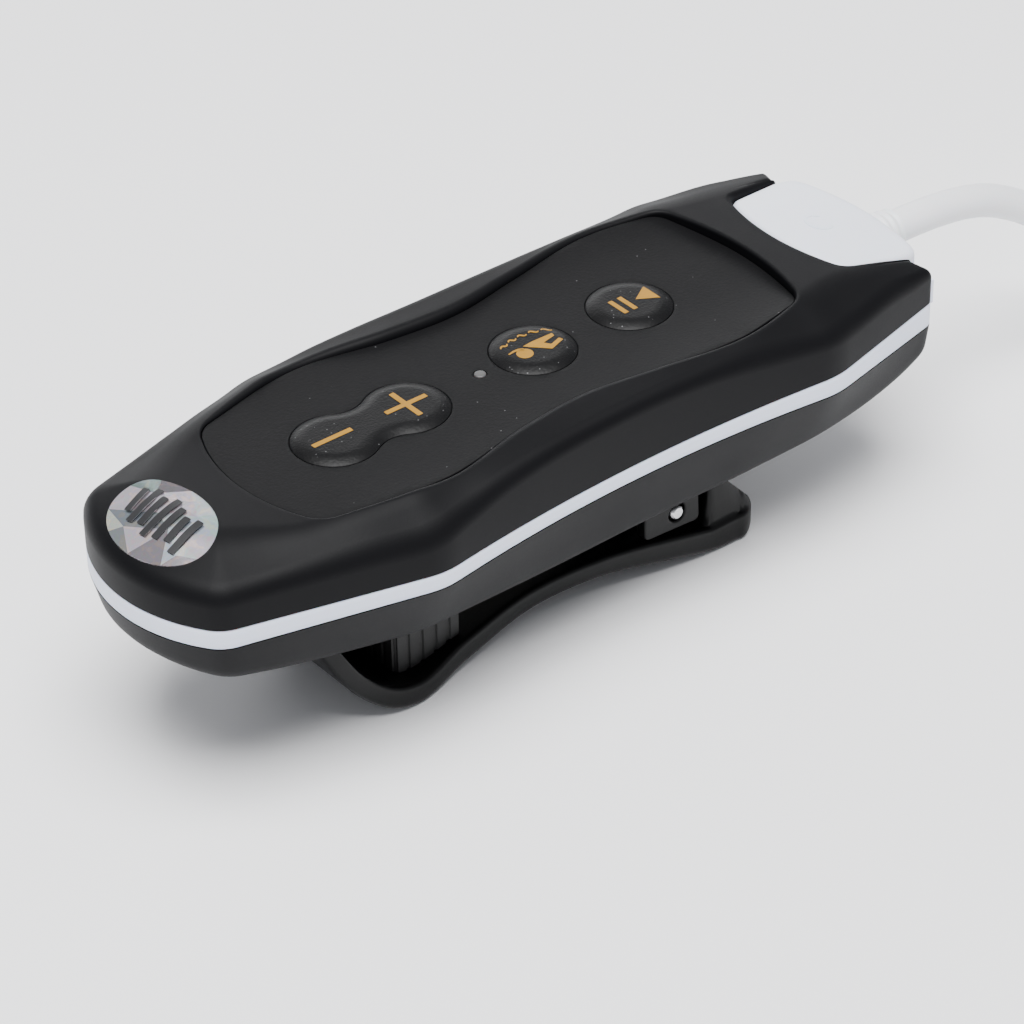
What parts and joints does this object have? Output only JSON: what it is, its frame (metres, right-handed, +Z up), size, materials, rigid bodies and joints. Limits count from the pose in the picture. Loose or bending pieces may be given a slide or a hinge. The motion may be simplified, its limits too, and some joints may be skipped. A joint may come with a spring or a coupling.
{
  "type": "digital audio player",
  "caption": "Waisted black clip-on digital audio player with a white band, a dished keypad of domed keys, a belt clip and an earphone lead locked into its plug bay.",
  "frame": {"origin": "under the middle of the housing, on the surface its belt clip stands on", "axes": "+X from the sticker end to the plug end, +Y to the side, +Z up out of the keypad"},
  "size_m": [0.2458, 0.0314, 0.0272],
  "materials": {
    "black_plastic": "fine-textured matt black",
    "clip_plastic": "satin black",
    "white_plastic": "smooth cool white",
    "keypad_plastic": "matt black with a fine speckle",
    "key_plastic": "matt black, speckled",
    "gold_print": "gold printed icons",
    "lens_white": "milky light pipe",
    "foil_sticker": "holographic foil",
    "gold_plate": "gold-plated contacts",
    "steel": "bright steel",
    "soft_rubber": "soft black rubber",
    "board_green": "green solder mask",
    "chip_black": "moulded epoxy",
    "chip_tan": "ceramic chips with tinned ends",
    "battery_foil": "silver laminate pouch",
    "foam_grey": "grey foam",
    "cord_white": "soft white sheath",
    "ear_rubber": "soft black ear tips"
  },
  "bodies": {
    "root": {"back_cover": "black_plastic", "mid_frame": "white_plastic", "front_cover": "black_plastic", "keypad_panel": "keypad_plastic", "led_lens": "lens_white", "sticker": "foil_sticker", "plug_block": "white_plastic", "plug_jack": "gold_plate", "plug_seal": "soft_rubber", "plug_bracket": "black_plastic", "bracket_screws": "steel", "clip_bracket": "clip_plastic", "clip_pin": "steel", "clip_spring": "steel", "circuit_board": "board_green", "jack_socket": "chip_black", "key_switches": "steel", "status_led": "lens_white", "processor": "chip_black", "memory_chip": "chip_black", "crystal": "steel", "chip_parts": "chip_tan", "battery": "battery_foil", "battery_pad": "foam_grey", "housing_seal": "soft_rubber", "cord_relief": "cord_white", "lead_run": "cord_white", "lead_hank": "cord_white", "lead_tail": "cord_white", "lead_tie": "soft_rubber", "splitter": "white_plastic", "left_branch": "cord_white", "left_hank": "cord_white", "left_bud_cord": "cord_white", "left_bud": "white_plastic", "right_branch": "cord_white", "right_hank": "cord_white", "right_bud_cord": "cord_white", "right_bud": "white_plastic", "branch_tie": "soft_rubber"},
    "clip_lever": {"clip_lever": "clip_plastic", "jaw_pad": "soft_rubber"},
    "play_button": {"play_button": "key_plastic"},
    "mode_button": {"mode_button": "key_plastic"},
    "volume_rocker": {"volume_rocker": "key_plastic"}
  },
  "joints": [
    {"name": "clip_hinge", "type": "hinge", "parent": "root", "child": "clip_lever", "pos_m": [0.0131, 0, 0.0067], "axis": [0, -1, 0], "range_deg": [0, 15], "stiffness_Nm_per_rad": 0.15, "springref_deg": -20.05},
    {"name": "play_press", "type": "slide", "parent": "root", "child": "play_button", "axis": [0, 0, -1], "range_m": [0, 0.0004], "stiffness_N_per_m": 1500},
    {"name": "mode_press", "type": "slide", "parent": "root", "child": "mode_button", "axis": [0, 0, -1], "range_m": [0, 0.0004], "stiffness_N_per_m": 1500},
    {"name": "volume_rock", "type": "hinge", "parent": "root", "child": "volume_rocker", "pos_m": [-0.01625, 0, 0.0252], "axis": [0, 1, 0], "range_deg": [-2, 2], "stiffness_Nm_per_rad": 0.05}
  ]
}
